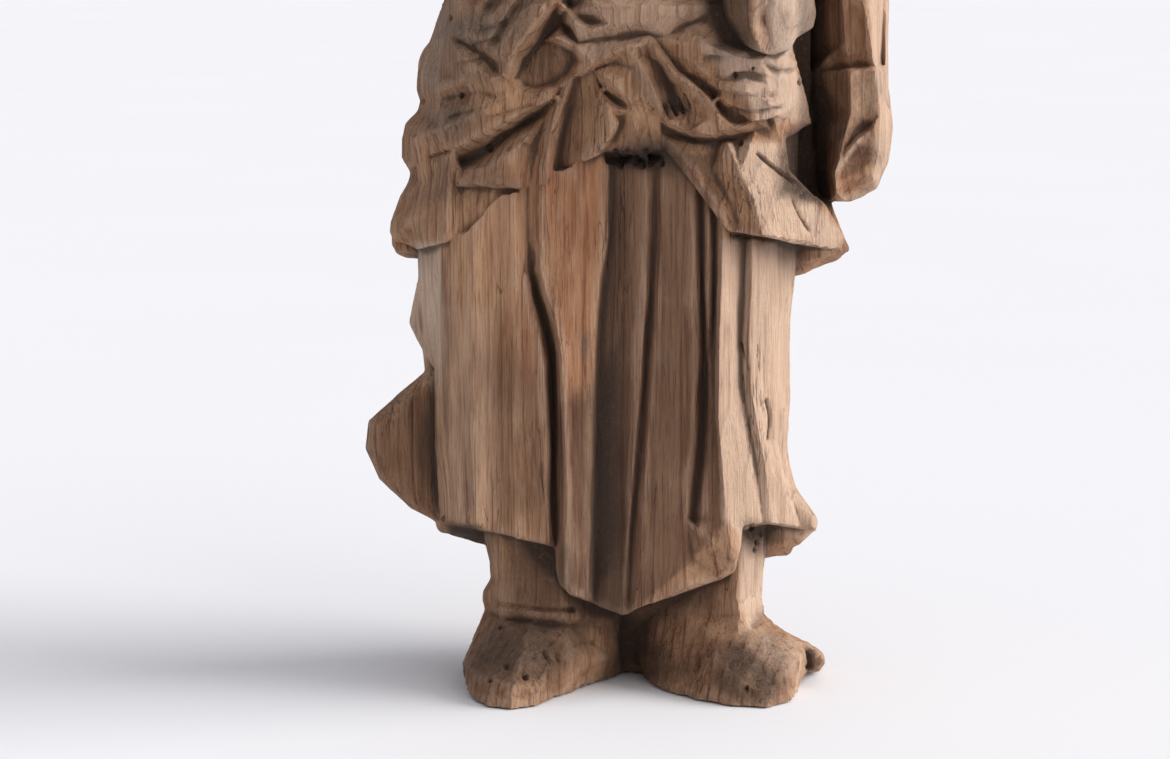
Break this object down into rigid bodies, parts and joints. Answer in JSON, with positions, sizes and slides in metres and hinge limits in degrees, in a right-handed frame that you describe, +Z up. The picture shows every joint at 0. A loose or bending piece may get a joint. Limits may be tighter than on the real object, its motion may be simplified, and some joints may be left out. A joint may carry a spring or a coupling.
{
  "type": "wooden buddhist statue",
  "caption": "Standing robed figure carved from one block of aged wood, one hand raised before the chest and one fist lowered; it stands on its flat soles.",
  "frame": {"origin": "centre of the figure's box at the ground under its soles", "axes": "+Z up along the figure, -Y towards the viewer in front, +X to the viewer's right"},
  "size_m": [0.1418, 0.0806, 0.2999],
  "materials": {
    "wood": "bare aged wood, matt, with tool facets, grain and a dusty patina"
  },
  "bodies": {
    "root": {"figure": "wood"}
  },
  "joints": []
}
